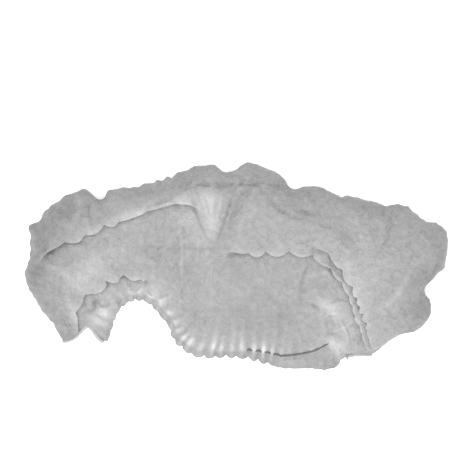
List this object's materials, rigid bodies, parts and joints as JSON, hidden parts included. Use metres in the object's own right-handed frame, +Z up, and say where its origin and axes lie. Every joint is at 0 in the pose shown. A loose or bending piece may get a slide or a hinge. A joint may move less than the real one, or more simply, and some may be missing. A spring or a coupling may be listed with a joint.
{
  "type": "disposable bouffant hair cover cap",
  "caption": "Thin nonwoven hair cover, opened from its pleated strip into a soft pouch and laid flat, gathered on an elastic round its mouth and welded at both ends.",
  "frame": {"origin": "on the flat underside, near the middle of the cap's plan, at the height of the surface it lies on", "axes": "+X along the cap towards its blunt rolled end, +Y from the elasticated mouth to the rolled rim, +Z up from the surface it lies on"},
  "size_m": [0.2804, 0.1358, 0.0306],
  "materials": {
    "nonwoven": "matte spunbond nonwoven, slightly translucent",
    "hem_cloth": "matte spunbond nonwoven, gathered",
    "elastic": "dark ribbed elastic thread",
    "welded_cloth": "nonwoven fused into a thin, slightly glossy stack"
  },
  "bodies": {
    "root": {"crown": "nonwoven", "front_ruffle": "hem_cloth", "back_ruffle": "hem_cloth", "front_elastic": "elastic", "back_elastic": "elastic", "left_end_seal": "welded_cloth", "right_end_seal": "welded_cloth"}
  },
  "joints": []
}
